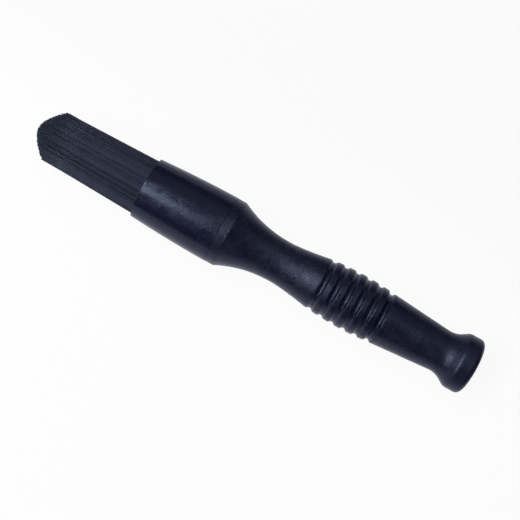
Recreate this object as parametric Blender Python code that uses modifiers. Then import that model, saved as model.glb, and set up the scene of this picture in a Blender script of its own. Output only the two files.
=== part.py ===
"""Round cleaning brush with a moulded handle, lying along +X with its bristles at the +X end.

Every length is in metres. A station is a distance along the brush from the flat end of the pommel. Each
piece is turned or built upright about its own Z axis, and one empty lays them all down along X.
"""

import math

import bmesh
import bpy
from mathutils import Matrix, Vector

# Fits between pieces
FIT_GAP = 0.0003
SEGMENTS = 40

# Pommel
POMMEL_RADIUS = 0.01679
POMMEL_BAND_LENGTH = 0.0103
POMMEL_RIM_RADIUS = 0.0046
FLARE_LENGTH = 0.0111
FLARE_POWER = 2.05

# Straight tapered grip
WAIST_RADIUS = 0.01241
GRIP_LENGTH = 0.03575
GRIP_FRONT_RADIUS = 0.01539

# Ribbed grip: ribs stand between grooves, and their tops follow a slight barrel
RIB_COUNT = 5
GROOVE_PITCH = 0.0073
GROOVE_WIDTH = 0.0040
GROOVE_DEPTH = 0.00122
REAR_GROOVE_DEPTH = 0.0016
GROOVE_FLATNESS = 3.0
GROOVE_ROUNDING = 1.5
RIB_ZONE_MARGIN = 0.00245
RIB_CROWN = 0.00113

# Neck and shoulder
NECK_RADIUS = 0.01241
NECK_REAR_LENGTH = 0.02385
NECK_REAR_POWER = 1.5
NECK_FRONT_LENGTH = 0.0328
NECK_FRONT_POWER = 2.2
SHOULDER_RADIUS = 0.01992
SHOULDER_RING_LENGTH = 0.0053
EDGE_CHAMFER = 0.0003

# Spigot that carries the sleeve, with a snap bead
SPIGOT_LENGTH = 0.0139
BEAD_HEIGHT = 0.0006
BEAD_LENGTH = 0.0030
BEAD_OFFSET = 0.0065

# Pockets that core the handle out, with a web left between them
BORE_MOUTH_RADIUS = 0.0086
BORE_END_RADIUS = 0.0074
FRONT_POCKET_RADIUS = 0.0120
FRONT_POCKET_DEPTH = 0.0180
WEB_THICKNESS = 0.0060

# Plug that closes the pommel end
PLUG_SEAT_RADIUS = 0.0105
PLUG_SEAT_DEPTH = 0.0023
PLUG_SKIRT_DEPTH = 0.0100
PLUG_SKIRT_WALL = 0.0016

# Tapered sleeve
SLEEVE_LENGTH = 0.0482
SLEEVE_STEP = 0.00013
SLEEVE_MOUTH_WALL = 0.0012
SLEEVE_TAPER_POWER = 1.75
SLEEVE_LIP = 0.0004

# Bristle bundle
STRAND_COUNT = 450
STRAND_SIDES = 3
STRAND_ROOT_RADIUS = 0.00046
STRAND_TIP_RADIUS = 0.00042
BUNDLE_ROOT_RADIUS = 0.01732
BUNDLE_TIP_RADIUS = 0.01479
BUNDLE_CLEARANCE = 0.00025
BRISTLE_REACH = 0.0710
DOME_DROP = 0.0104
DOME_POWER = 1.65
STRAND_EMBED = 0.0014

# Stack that holds the roots inside the sleeve
DISC_THICKNESS = 0.0020
SET_THICKNESS = 0.0080
ROOT_SLICE_THICKNESS = 0.0020
BAND_WALL = 0.0008
CENTRE_PLUG_RADIUS = 0.0075
CENTRE_PLUG_NOSE_LENGTH = 0.0120
CENTRE_PLUG_NOSE_CHAMFER = 0.0015

# Stations, worked out from the lengths above
GROOVE_COUNT = RIB_COUNT + 1
FLARE_START = POMMEL_BAND_LENGTH
WAIST = FLARE_START + FLARE_LENGTH
RIB_ZONE_START = WAIST + GRIP_LENGTH
RIB_ZONE_LENGTH = RIB_COUNT * GROOVE_PITCH + 2.0 * RIB_ZONE_MARGIN
RIB_ZONE_END = RIB_ZONE_START + RIB_ZONE_LENGTH
NECK = RIB_ZONE_END + NECK_REAR_LENGTH
SHOULDER = NECK + NECK_FRONT_LENGTH
SEAM = SHOULDER + SHOULDER_RING_LENGTH
SLEEVE_START = SEAM + FIT_GAP
SPIGOT_END = SEAM + SPIGOT_LENGTH
DISC_START = SPIGOT_END + FIT_GAP
SET_START = DISC_START + DISC_THICKNESS + FIT_GAP
SLICE_START = SET_START + SET_THICKNESS + FIT_GAP
ROOTS = SLICE_START + ROOT_SLICE_THICKNESS
MOUTH = SLEEVE_START + SLEEVE_LENGTH
OVERALL_LENGTH = MOUTH + BRISTLE_REACH
FRONT_POCKET_FLOOR = SPIGOT_END - FRONT_POCKET_DEPTH
BORE_END = FRONT_POCKET_FLOOR - WEB_THICKNESS
BEAD_STATION = SEAM + BEAD_OFFSET

# The sleeve's seam end stands a little proud of the shoulder ring
SLEEVE_SEAM_RADIUS = SHOULDER_RADIUS + SLEEVE_STEP

# The widest turned radius, which is the height of the brush's axis when it lies on a table
AXIS_HEIGHT = max(SLEEVE_SEAM_RADIUS, SHOULDER_RADIUS, POMMEL_RADIUS)

GOLDEN_ANGLE = math.pi * (3.0 - math.sqrt(5.0))

# How far each strand is turned about itself from the one before, so that their flat sides differ
STRAND_SPIN = GOLDEN_ANGLE / 2.0

# Steps along the curved stretches of the outlines
RIM_STEPS = 4
FLARE_STEPS = 5
NECK_REAR_STEPS = 5
NECK_FRONT_STEPS = 8
SLEEVE_STEPS = 6
GROOVE_STEPS = 6

# Widest bend between two faces that are still shaded as one smooth surface
SMOOTH_ANGLE = math.radians(35.0)
PROFILE_MERGE = 0.00001

NAVY_BLACK = (0.012, 0.012, 0.024, 1.0)
BRISTLE_SLATE = (0.016, 0.021, 0.032, 1.0)
AMBER_RESIN = (0.30, 0.16, 0.05, 1.0)
BAND_GREY = (0.55, 0.56, 0.58, 1.0)
NATURAL_WHITE = (0.62, 0.60, 0.54, 1.0)


def clear_scene():
    """Start from an empty scene."""
    for old in list(bpy.data.objects):
        bpy.data.objects.remove(old, do_unlink=True)


def new_collection(name):
    """A collection of this name in the scene."""
    collection = bpy.data.collections.new(name)
    bpy.context.scene.collection.children.link(collection)
    return collection


def make_material(name, colour, roughness, metallic=0.0):
    """A Principled material with one colour."""
    material = bpy.data.materials.new(name)
    material.use_nodes = True
    shader = material.node_tree.nodes["Principled BSDF"]
    shader.inputs["Base Color"].default_value = colour
    shader.inputs["Roughness"].default_value = roughness
    shader.inputs["Metallic"].default_value = metallic
    return material


def linear(start, end, share):
    """The value at a share of the way from start to end."""
    return start + (end - start) * share


def power_curve(base, rim, exponent, steps):
    """Points (radius, station) from rim back to base, with the radius growing as a power of the distance."""
    points = []
    for step in range(steps):
        share = 1.0 - step / steps
        radius = linear(base[0], rim[0], share**exponent)
        points.append((radius, linear(base[1], rim[1], share)))
    return points


def turned_mesh(name, profile, closed):
    """The mesh made by turning a profile of (radius, height) points about Z.

    Radii are measured to the flats, so two pieces that fit each other keep their gap all the way round.
    """
    to_corner = 1.0 / math.cos(math.pi / SEGMENTS)
    outline = bpy.data.meshes.new(name + "_outline")
    corners = [(radius * to_corner, 0.0, height) for radius, height in profile]
    edges = [(i, i + 1) for i in range(len(corners) - 1)]
    if closed:
        edges.append((len(corners) - 1, 0))
    outline.from_pydata(corners, edges, [])
    turning = bpy.data.objects.new(name + "_turning", outline)
    bpy.context.scene.collection.objects.link(turning)
    screw = turning.modifiers.new("turn", "SCREW")
    screw.axis = "Z"
    screw.angle = 2.0 * math.pi
    screw.steps = SEGMENTS
    screw.render_steps = SEGMENTS
    screw.use_merge_vertices = True
    screw.merge_threshold = PROFILE_MERGE
    turned = bpy.data.meshes.new_from_object(turning.evaluated_get(bpy.context.evaluated_depsgraph_get()))
    turned.name = name
    bpy.data.objects.remove(turning, do_unlink=True)
    bpy.data.meshes.remove(outline)
    turned.shade_smooth()
    turned.set_sharp_from_angle(angle=SMOOTH_ANGLE)
    return turned


def place(name, mesh, station, material, collection, axis_frame):
    """An object for a piece, on the brush's axis at its station, with a flat turned downwards."""
    piece = bpy.data.objects.new(name, mesh)
    collection.objects.link(piece)
    piece.parent = axis_frame
    piece.location = (0.0, 0.0, station)
    piece.rotation_euler = (0.0, 0.0, math.pi / SEGMENTS)
    mesh.materials.clear()
    mesh.materials.append(material)
    return piece


def shifted(profile, station):
    """A profile of (radius, station) points, measured from the piece's own station."""
    return [(radius, height - station) for radius, height in profile]


def bundle_radius(station):
    """Outer radius of the straight bristle bundle at a station."""
    share = (station - ROOTS) / (OVERALL_LENGTH - ROOTS)
    return linear(BUNDLE_ROOT_RADIUS, BUNDLE_TIP_RADIUS, share)


def sleeve_bore(station):
    """Inner radius of the sleeve, which follows the bundle that it holds."""
    return bundle_radius(station) + BUNDLE_CLEARANCE


def inner_strand_radius(station):
    """Distance from the axis to the innermost strand, which leans in until it meets the axis at the tip."""
    root = CENTRE_PLUG_RADIUS + FIT_GAP + STRAND_ROOT_RADIUS
    share = (station - ROOTS) / (OVERALL_LENGTH - ROOTS)
    return linear(root, 0.0, share)


def rib_envelope(station):
    """Radius of the barrel that the rib tops follow."""
    across = 2.0 * (station - RIB_ZONE_START) / RIB_ZONE_LENGTH - 1.0
    return GRIP_FRONT_RADIUS + RIB_CROWN * (1.0 - across * across)


def ribbed_grip_profile():
    """Outline of the ribs and grooves, from the neck end back to the plain grip."""
    points = [(rib_envelope(RIB_ZONE_END), RIB_ZONE_END)]
    for groove in reversed(range(GROOVE_COUNT)):
        centre = RIB_ZONE_START + RIB_ZONE_MARGIN + groove * GROOVE_PITCH
        depth = REAR_GROOVE_DEPTH if groove == 0 else GROOVE_DEPTH
        for step in range(GROOVE_STEPS + 1):
            across = 1.0 - 2.0 * step / GROOVE_STEPS
            station = centre + across * GROOVE_WIDTH / 2.0
            dip = depth * (1.0 - abs(across) ** GROOVE_FLATNESS) ** GROOVE_ROUNDING
            points.append((rib_envelope(station) - dip, station))
    points.append((rib_envelope(RIB_ZONE_START), RIB_ZONE_START))
    return points


def pommel_profile():
    """Outline of the flare, the band and the rounded rim down to the end plane."""
    points = power_curve((WAIST_RADIUS, WAIST), (POMMEL_RADIUS, FLARE_START), FLARE_POWER, FLARE_STEPS)
    points = [(WAIST_RADIUS, WAIST)] + points[::-1]
    for step in range(RIM_STEPS + 1):
        turn = 0.5 * math.pi * step / RIM_STEPS
        radius = POMMEL_RADIUS - POMMEL_RIM_RADIUS * (1.0 - math.cos(turn))
        points.append((radius, POMMEL_RIM_RADIUS * (1.0 - math.sin(turn))))
    return points


def spigot_profile():
    """Outline of the spigot from its front edge back to the shoulder face, with the snap bead."""
    bead_front = BEAD_STATION + BEAD_LENGTH / 2.0
    bead_rear = BEAD_STATION - BEAD_LENGTH / 2.0
    return [
        (sleeve_bore(SPIGOT_END) - FIT_GAP - EDGE_CHAMFER, SPIGOT_END),
        (sleeve_bore(SPIGOT_END) - FIT_GAP, SPIGOT_END - EDGE_CHAMFER),
        (sleeve_bore(bead_front) - FIT_GAP, bead_front),
        (sleeve_bore(BEAD_STATION) - FIT_GAP + BEAD_HEIGHT, BEAD_STATION),
        (sleeve_bore(bead_rear) - FIT_GAP, bead_rear),
        (sleeve_bore(SEAM) - FIT_GAP, SEAM),
    ]


def make_handle(material, collection, axis_frame):
    """One moulding: pommel, tapered grip, five ribs, neck, shoulder ring and spigot, cored from both ends."""
    profile = [(0.0, FRONT_POCKET_FLOOR), (FRONT_POCKET_RADIUS, FRONT_POCKET_FLOOR)]
    profile.append((FRONT_POCKET_RADIUS, SPIGOT_END))
    profile += spigot_profile()
    profile.append((SHOULDER_RADIUS - EDGE_CHAMFER, SEAM))
    profile.append((SHOULDER_RADIUS, SEAM - EDGE_CHAMFER))
    neck = (NECK_RADIUS, NECK)
    profile += power_curve(neck, (SHOULDER_RADIUS, SHOULDER), NECK_FRONT_POWER, NECK_FRONT_STEPS)
    profile.append(neck)
    rear = power_curve(neck, (rib_envelope(RIB_ZONE_END), RIB_ZONE_END), NECK_REAR_POWER, NECK_REAR_STEPS)
    profile += rear[:0:-1]
    profile += ribbed_grip_profile()
    profile += pommel_profile()
    profile += [
        (PLUG_SEAT_RADIUS, 0.0),
        (PLUG_SEAT_RADIUS, PLUG_SEAT_DEPTH),
        (BORE_MOUTH_RADIUS, PLUG_SEAT_DEPTH),
        (BORE_END_RADIUS, BORE_END),
        (0.0, BORE_END),
    ]
    return place("handle", turned_mesh("handle", profile, False), 0.0, material, collection, axis_frame)


def make_end_plug(material, collection, axis_frame):
    """Cap flush with the pommel end, with a skirt that reaches into the bore."""
    skirt_top = PLUG_SEAT_DEPTH + PLUG_SKIRT_DEPTH
    share = PLUG_SKIRT_DEPTH / (BORE_END - PLUG_SEAT_DEPTH)
    skirt_radius = linear(BORE_MOUTH_RADIUS, BORE_END_RADIUS, share) - FIT_GAP
    flange_top = PLUG_SEAT_DEPTH - FIT_GAP
    profile = [
        (0.0, flange_top),
        (skirt_radius - PLUG_SKIRT_WALL, flange_top),
        (skirt_radius - PLUG_SKIRT_WALL, skirt_top),
        (skirt_radius - EDGE_CHAMFER, skirt_top),
        (skirt_radius, skirt_top - EDGE_CHAMFER),
        (skirt_radius, flange_top),
        (PLUG_SEAT_RADIUS - FIT_GAP, flange_top),
        (PLUG_SEAT_RADIUS - FIT_GAP, EDGE_CHAMFER),
        (PLUG_SEAT_RADIUS - FIT_GAP - EDGE_CHAMFER, 0.0),
        (0.0, 0.0),
    ]
    return place("end_plug", turned_mesh("end_plug", profile, False), 0.0, material, collection, axis_frame)


def make_sleeve(material, collection, axis_frame):
    """Tapered sleeve that slides over the spigot and holds the roots, with a groove for the snap bead."""
    mouth_radius = sleeve_bore(MOUTH) + SLEEVE_MOUTH_WALL
    seam = (SLEEVE_SEAM_RADIUS, SLEEVE_START + EDGE_CHAMFER)
    mouth = (mouth_radius, MOUTH - SLEEVE_LIP)
    bead_front = BEAD_STATION + BEAD_LENGTH / 2.0
    bead_rear = BEAD_STATION - BEAD_LENGTH / 2.0
    profile = [(mouth_radius - SLEEVE_LIP, MOUTH)]
    profile += power_curve(seam, mouth, SLEEVE_TAPER_POWER, SLEEVE_STEPS)
    profile.append(seam)
    profile += [
        (SLEEVE_SEAM_RADIUS - EDGE_CHAMFER, SLEEVE_START),
        (sleeve_bore(SLEEVE_START), SLEEVE_START),
        (sleeve_bore(bead_rear), bead_rear),
        (sleeve_bore(BEAD_STATION) + BEAD_HEIGHT, BEAD_STATION),
        (sleeve_bore(bead_front), bead_front),
        (sleeve_bore(MOUTH), MOUTH),
    ]
    mesh = turned_mesh("ferrule_sleeve", shifted(profile, SLEEVE_START), True)
    return place("ferrule_sleeve", mesh, SLEEVE_START, material, collection, axis_frame)


def make_backing_disc(material, collection, axis_frame):
    """Disc between the spigot's end and the cast set."""
    top = DISC_START + DISC_THICKNESS
    radius = sleeve_bore(top) - FIT_GAP
    profile = [(0.0, top), (radius, top), (radius, DISC_START), (0.0, DISC_START)]
    mesh = turned_mesh("backing_disc", shifted(profile, DISC_START), False)
    return place("backing_disc", mesh, DISC_START, material, collection, axis_frame)


def ring_profile(outer, inner, bottom, top):
    """Closed outline of a plain ring."""
    return [(outer, top), (outer, bottom), (inner, bottom), (inner, top)]


def band_radius():
    """Outer radius of the band round the set, which clears the sleeve along its whole length."""
    return sleeve_bore(SET_START + SET_THICKNESS) - FIT_GAP


def make_root_band(material, collection, axis_frame):
    """Thin band that gathers the roots while the set hardens."""
    outer = band_radius()
    profile = ring_profile(outer, outer - BAND_WALL, 0.0, SET_THICKNESS)
    mesh = turned_mesh("root_band", profile, True)
    return place("root_band", mesh, SET_START, material, collection, axis_frame)


def make_resin_set(material, collection, axis_frame):
    """Cast block that locks the roots, between the band and the centre plug."""
    outer = band_radius() - BAND_WALL - FIT_GAP
    inner = CENTRE_PLUG_RADIUS + FIT_GAP
    mesh = turned_mesh("resin_set", ring_profile(outer, inner, 0.0, SET_THICKNESS), True)
    return place("resin_set", mesh, SET_START, material, collection, axis_frame)


def make_centre_plug(material, collection, axis_frame):
    """Solid core that spreads the roots into a ring, with a nose that clears the leaning strands."""
    nose_end = ROOTS + CENTRE_PLUG_NOSE_LENGTH
    edge = nose_end - CENTRE_PLUG_NOSE_CHAMFER
    edge_radius = inner_strand_radius(edge) - STRAND_ROOT_RADIUS - FIT_GAP
    profile = [
        (0.0, nose_end),
        (edge_radius - CENTRE_PLUG_NOSE_CHAMFER, nose_end),
        (edge_radius, edge),
        (CENTRE_PLUG_RADIUS, ROOTS - FIT_GAP),
        (CENTRE_PLUG_RADIUS, SET_START),
        (0.0, SET_START),
    ]
    mesh = turned_mesh("centre_plug", shifted(profile, SET_START), False)
    return place("centre_plug", mesh, SET_START, material, collection, axis_frame)


def strand_line(number):
    """Root and tip points of one strand, in the bundle's frame with z = 0 at the slice.

    At every height the strands sit on a spiral turned by the golden angle, so none crosses another and
    their spacing stays even. At the roots the spiral fills a ring, and at the tips a whole disc.
    """
    share = (number + 0.5) / STRAND_COUNT
    inner = CENTRE_PLUG_RADIUS + FIT_GAP + STRAND_ROOT_RADIUS
    outer = BUNDLE_ROOT_RADIUS - STRAND_ROOT_RADIUS
    root_radius = math.sqrt(linear(inner * inner, outer * outer, share))
    top_radius = (BUNDLE_TIP_RADIUS - STRAND_TIP_RADIUS) * math.sqrt(share)
    heading = Vector((math.cos(number * GOLDEN_ANGLE), math.sin(number * GOLDEN_ANGLE), 0.0))
    along = Vector((0.0, 0.0, 1.0))
    root = heading * root_radius + along * (ROOTS - SLICE_START)
    top = heading * top_radius + along * (OVERALL_LENGTH - SLICE_START)
    direction = (top - root).normalized()
    drop = DOME_DROP * (top_radius / BUNDLE_TIP_RADIUS) ** DOME_POWER
    tip = top - direction * (drop / direction.z)
    return root - direction * STRAND_EMBED, tip


def make_strands(cutters):
    """All strands as one loose mesh, ready to be joined to the slice."""
    strands = bmesh.new()
    for number in range(STRAND_COUNT):
        root, tip = strand_line(number)
        direction = tip - root
        upright = direction.to_track_quat("Z", "Y").to_matrix().to_4x4()
        spin = Matrix.Rotation(number * STRAND_SPIN, 4, "Z")
        middle = Matrix.Translation((root + tip) / 2.0)
        bmesh.ops.create_cone(
            strands,
            cap_ends=True,
            segments=STRAND_SIDES,
            radius1=STRAND_ROOT_RADIUS,
            radius2=STRAND_TIP_RADIUS,
            depth=direction.length,
            matrix=middle @ upright @ spin,
        )
    mesh = bpy.data.meshes.new("loose_strands")
    strands.to_mesh(mesh)
    strands.free()
    loose = bpy.data.objects.new("loose_strands", mesh)
    cutters.objects.link(loose)
    loose.hide_render = True
    loose.display_type = "WIRE"
    return loose


def make_bristle_bundle(material, collection, cutters, axis_frame):
    """Strands fused to the top slice of the cast set that holds them."""
    slice_ring = ring_profile(
        sleeve_bore(ROOTS) - FIT_GAP,
        CENTRE_PLUG_RADIUS + FIT_GAP,
        0.0,
        ROOT_SLICE_THICKNESS,
    )
    mesh = turned_mesh("bristle_bundle", slice_ring, True)
    bundle = place("bristle_bundle", mesh, SLICE_START, material, collection, axis_frame)
    loose = make_strands(cutters)
    loose.parent = bundle
    join = bundle.modifiers.new("strands", "BOOLEAN")
    join.operation = "UNION"
    join.solver = "EXACT"
    join.object = loose
    return bundle


def main():
    clear_scene()
    brush = new_collection("cleaning_brush")
    cutters = new_collection("cutters")

    moulded = make_material("moulded_plastic", NAVY_BLACK, 0.42)
    bristle = make_material("bristle_filament", BRISTLE_SLATE, 0.45)
    resin = make_material("cast_resin", AMBER_RESIN, 0.30)
    band = make_material("band_metal", BAND_GREY, 0.35, metallic=1.0)
    natural = make_material("natural_plastic", NATURAL_WHITE, 0.50)

    axis_frame = bpy.data.objects.new("brush_axis", None)
    brush.objects.link(axis_frame)
    axis_frame.location = (-OVERALL_LENGTH / 2.0, 0.0, AXIS_HEIGHT)
    axis_frame.rotation_euler = (0.0, math.pi / 2.0, 0.0)

    make_handle(moulded, brush, axis_frame)
    make_end_plug(moulded, brush, axis_frame)
    make_sleeve(moulded, brush, axis_frame)
    make_backing_disc(natural, brush, axis_frame)
    make_root_band(band, brush, axis_frame)
    make_resin_set(resin, brush, axis_frame)
    make_centre_plug(natural, brush, axis_frame)
    make_bristle_bundle(bristle, brush, cutters, axis_frame)
    bpy.context.view_layer.update()


main()
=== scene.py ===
# %% [markdown]
# # A round cleaning brush in Blender
#
# The brush lies on its side on a pale floor, with its bristles at the +X end. It has a one-piece
# moulded handle, a separate tapered sleeve, and a dense bundle of filaments with a domed tip. The
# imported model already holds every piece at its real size, so this script only makes the surfaces
# that the eye meets: the outer mouldings with their rounded edges, the filaments one by one, and
# the finish of each material.
#
# The script runs from top to bottom as a notebook would. Each step starts with a note on what the
# real piece is, how it could be made, and why it is made this way here.

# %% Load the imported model
import math

import bmesh
import bpy
from mathutils import Matrix, Vector


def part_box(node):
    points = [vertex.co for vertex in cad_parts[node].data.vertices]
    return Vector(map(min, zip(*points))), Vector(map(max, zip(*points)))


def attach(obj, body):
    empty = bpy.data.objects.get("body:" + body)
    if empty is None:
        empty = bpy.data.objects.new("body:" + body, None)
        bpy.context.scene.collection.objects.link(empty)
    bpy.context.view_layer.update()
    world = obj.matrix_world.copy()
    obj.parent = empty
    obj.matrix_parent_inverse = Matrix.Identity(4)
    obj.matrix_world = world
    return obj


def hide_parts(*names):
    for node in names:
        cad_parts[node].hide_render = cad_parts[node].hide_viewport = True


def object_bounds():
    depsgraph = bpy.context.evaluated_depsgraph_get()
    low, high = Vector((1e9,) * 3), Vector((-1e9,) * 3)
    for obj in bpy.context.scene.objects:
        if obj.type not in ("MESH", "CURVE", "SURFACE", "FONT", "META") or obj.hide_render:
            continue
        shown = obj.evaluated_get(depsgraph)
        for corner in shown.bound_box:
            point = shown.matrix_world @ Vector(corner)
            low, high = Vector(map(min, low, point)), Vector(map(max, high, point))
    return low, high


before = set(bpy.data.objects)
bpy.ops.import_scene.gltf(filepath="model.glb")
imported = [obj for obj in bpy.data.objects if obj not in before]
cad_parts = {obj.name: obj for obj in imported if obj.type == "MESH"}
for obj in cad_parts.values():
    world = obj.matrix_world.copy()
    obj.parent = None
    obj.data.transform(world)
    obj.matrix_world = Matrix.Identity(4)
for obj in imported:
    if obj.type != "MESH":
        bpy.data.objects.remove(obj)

cad_low, cad_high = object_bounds()
print("The packed model measures", [round(1000 * side, 1) for side in cad_high - cad_low], "mm")

# %% [markdown]
# ## Places along the brush
#
# A turned piece is easiest to describe by two numbers: how far along the axis a point lies, and how
# far from the axis it is. The first is called a station here, measured from the flat end of the
# pommel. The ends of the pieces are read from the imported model, so the finished surfaces meet
# exactly where the solids do.

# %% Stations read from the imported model
handle_low, handle_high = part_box("handle")
sleeve_low, sleeve_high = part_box("ferrule_sleeve")
bundle_low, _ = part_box("bristle_bundle")

AXIS_Z = (sleeve_low.z + sleeve_high.z) / 2.0
POMMEL_X = handle_low.x
SPIGOT_END = handle_high.x - POMMEL_X
SLEEVE_START = sleeve_low.x - POMMEL_X
MOUTH = sleeve_high.x - POMMEL_X
SLICE_START = bundle_low.x - POMMEL_X
TIP = cad_high.x - POMMEL_X
SEAM_GAP = 0.0003
SEAM = SLEEVE_START - SEAM_GAP
JOINT_LINE = 0.00012
print(f"Seam at {1000 * SEAM:.1f} mm, sleeve mouth at {1000 * MOUTH:.1f} mm, tip at {1000 * TIP:.1f} mm")

# %% [markdown]
# ## Outlines
#
# The mouldings have only a few kinds of line: straight tapers, flowing curves whose slope grows
# towards one end, and corners rounded with a small radius. Two helpers make them. `flowing` gives a
# curve that leaves its thin end parallel to the axis and steepens as a power of the distance.
# `rounded` replaces the corners of a path by arcs, as the cutter that made the mould does. Each arc
# gets a holding point just outside either end, so that the smooth shading stays within the arc and
# the faces beside it look as straight as they are.

# %% Helpers for outlines
HOLDING_POINT = 0.00015
ARC_SHARE = 0.49
HOLDING_SHARE = 0.495


def linear(start, end, share):
    """The value at a share of the way from start to end."""
    return start + (end - start) * share


def flowing(thin, thick, power, steps):
    """Points (station, radius) from thin to thick, with the radius growing as a power of the distance."""
    shares = [step / steps for step in range(steps + 1)]
    return [(linear(thin[0], thick[0], share), linear(thin[1], thick[1], share**power)) for share in shares]


def corner_arc(before, corner, after, radius, steps=5):
    """Points of the arc that rounds one corner of a path, with one more on each side close to its ends."""
    corner = Vector(corner)
    back = Vector(before) - corner
    ahead = Vector(after) - corner
    half_angle = back.angle(ahead) / 2.0
    room = min(back.length, ahead.length)
    reach = min(radius / math.tan(half_angle), ARC_SHARE * room)
    hold = min(reach + HOLDING_POINT, HOLDING_SHARE * room)
    back.normalize()
    ahead.normalize()
    start = corner + back * reach
    end = corner + ahead * reach
    centre = corner + (back + ahead).normalized() * (reach / math.cos(half_angle))
    points = [tuple(corner + back * hold)]
    for step in range(steps + 1):
        spoke = (start - centre).lerp(end - centre, step / steps)
        points.append(tuple(centre + spoke.normalized() * (start - centre).length))
    points.append(tuple(corner + ahead * hold))
    return points


def rounded(path, radii, steps=5):
    """A path of (station, radius) points with the corners named in radii rounded, each by its own radius."""
    points = []
    for number, point in enumerate(path):
        if number in radii:
            after = path[(number + 1) % len(path)]
            points += corner_arc(path[number - 1], point, after, radii[number], steps)
        else:
            points.append(point)
    return points


def resampled(points, step):
    """The same path with extra points, so that no two lie further apart than a step."""
    finer = [points[0]]
    for start, end in zip(points, points[1:]):
        pieces = max(1, math.ceil((Vector(end) - Vector(start)).length / step))
        for piece in range(1, pieces + 1):
            share = piece / pieces
            finer.append((linear(start[0], end[0], share), linear(start[1], end[1], share)))
    return finer


# %% [markdown]
# ## Turning an outline
#
# A lathe is the natural tool for a body of revolution, and Blender's lathe is the Screw modifier.
# The outline lies in the XZ plane with the axis at Z = 0. It is turned about X, made a plain mesh,
# moved on to the brush's axis, and checked: a turned body whose volume comes out negative is inside
# out, so its faces are flipped.

# %% Helpers that turn an outline
SEGMENTS = 128
MERGE_DISTANCE = 0.000002
SMOOTH_ANGLE = math.radians(40.0)


def add_object(name, data):
    """A new object in the scene for this mesh, lamp or camera."""
    piece = bpy.data.objects.new(name, data)
    bpy.context.scene.collection.objects.link(piece)
    return piece


def plain_mesh(piece, name):
    """The mesh that an object's modifiers make, as a plain mesh of its own."""
    depsgraph = bpy.context.evaluated_depsgraph_get()
    mesh = bpy.data.meshes.new_from_object(piece.evaluated_get(depsgraph))
    mesh.name = name
    return mesh


def turned(name, outline, closed=False):
    """An object made by turning an outline of (station, radius) points about the X axis."""
    profile = bpy.data.meshes.new(name + "_outline")
    corners = [(station, 0.0, radius) for station, radius in outline]
    edges = [(i, i + 1) for i in range(len(corners) - 1)]
    if closed:
        edges.append((len(corners) - 1, 0))
    profile.from_pydata(corners, edges, [])
    lathe = add_object(name + "_lathe", profile)
    screw = lathe.modifiers.new("turn", "SCREW")
    screw.axis = "X"
    screw.steps = SEGMENTS
    screw.render_steps = SEGMENTS
    screw.use_merge_vertices = True
    screw.merge_threshold = MERGE_DISTANCE
    mesh = plain_mesh(lathe, name)
    bpy.data.objects.remove(lathe, do_unlink=True)
    shape = bmesh.new()
    shape.from_mesh(mesh)
    bmesh.ops.remove_doubles(shape, verts=shape.verts, dist=MERGE_DISTANCE)
    if shape.calc_volume(signed=True) < 0.0:
        bmesh.ops.reverse_faces(shape, faces=shape.faces)
    shape.to_mesh(mesh)
    shape.free()
    mesh.shade_smooth()
    mesh.set_sharp_from_angle(angle=SMOOTH_ANGLE)
    return add_object(name, mesh)


def lay_on_axis(piece, material=None):
    """Moves a piece made about the X axis on to the brush's axis, and gives it its material."""
    if material is not None:
        piece.data.materials.append(material)
    piece.data.transform(Matrix.Translation((POMMEL_X, 0.0, AXIS_Z)))
    piece.data.update()
    print(piece.name, "has", len(piece.data.polygons), "faces")


# %% [markdown]
# ## Shader groups that several materials share
#
# Moulded plastic, filaments, resin and metal all have some fine grain, and the plastic that is
# handled has wear and dust as well. Each effect is a node group with named inputs, built once and
# placed in a material with that material's numbers. A group only puts out values that change over
# the surface. The shader itself stays in the material.

# %% Helpers for node trees
SIGNS = {"+": "ADD", "-": "SUBTRACT", "*": "MULTIPLY", "/": "DIVIDE", "^": "POWER"}
SOCKET_TYPES = {int: "NodeSocketInt", float: "NodeSocketFloat"}


def new_group(name, kind, inputs, outputs):
    """A node group. Each input is given as its default, or as its socket type where it has none."""
    tree = bpy.data.node_groups.new(name, kind)
    for label, value in inputs.items():
        bare = isinstance(value, str)
        socket_type = value if bare else SOCKET_TYPES[type(value)]
        socket = tree.interface.new_socket(label, in_out="INPUT", socket_type=socket_type)
        if not bare:
            socket.default_value = value
    for label, socket_type in outputs.items():
        tree.interface.new_socket(label, in_out="OUTPUT", socket_type=socket_type)
    start = tree.nodes.new("NodeGroupInput")
    end = tree.nodes.new("NodeGroupOutput")
    print(name, "takes", list(inputs))
    return tree, start.outputs, end.inputs


def put(tree, kind, inputs=None, **settings):
    """A node of this kind. Its settings are set, and each input takes a value or a link from a socket."""
    node = tree.nodes.new(kind)
    for label, value in settings.items():
        setattr(node, label, value)
    for label, value in (inputs or {}).items():
        feed(tree, node.inputs[label], value)
    return node


def feed(tree, socket, value):
    """Gives an input socket a value, or links it to another node's output."""
    if isinstance(value, bpy.types.NodeSocket):
        tree.links.new(value, socket)
    else:
        socket.default_value = value


def calc(tree, operation, first, second=None, clamp=False):
    """The output of a Math node, with its operation given as a sign or by Blender's name."""
    node = put(tree, "ShaderNodeMath", {0: first}, operation=SIGNS.get(operation, operation), use_clamp=clamp)
    if second is not None:
        feed(tree, node.inputs[1], second)
    return node.outputs[0]


def ramp(tree, value, low, high, to_low=0.0, to_high=1.0):
    """A value carried smoothly from one range to another, and held at the ends."""
    sockets = {"Value": value, "From Min": low, "From Max": high, "To Min": to_low, "To Max": to_high}
    return put(tree, "ShaderNodeMapRange", sockets, interpolation_type="SMOOTHSTEP").outputs["Result"]


def noise(tree, place, size, detail, roughness=0.5):
    """A noise texture's value at a place, with features of about this size."""
    scale = calc(tree, "/", 1.0, size)
    sockets = {"Vector": place, "Scale": scale, "Detail": detail, "Roughness": roughness}
    return put(tree, "ShaderNodeTexNoise", sockets).outputs["Fac"]


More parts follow.
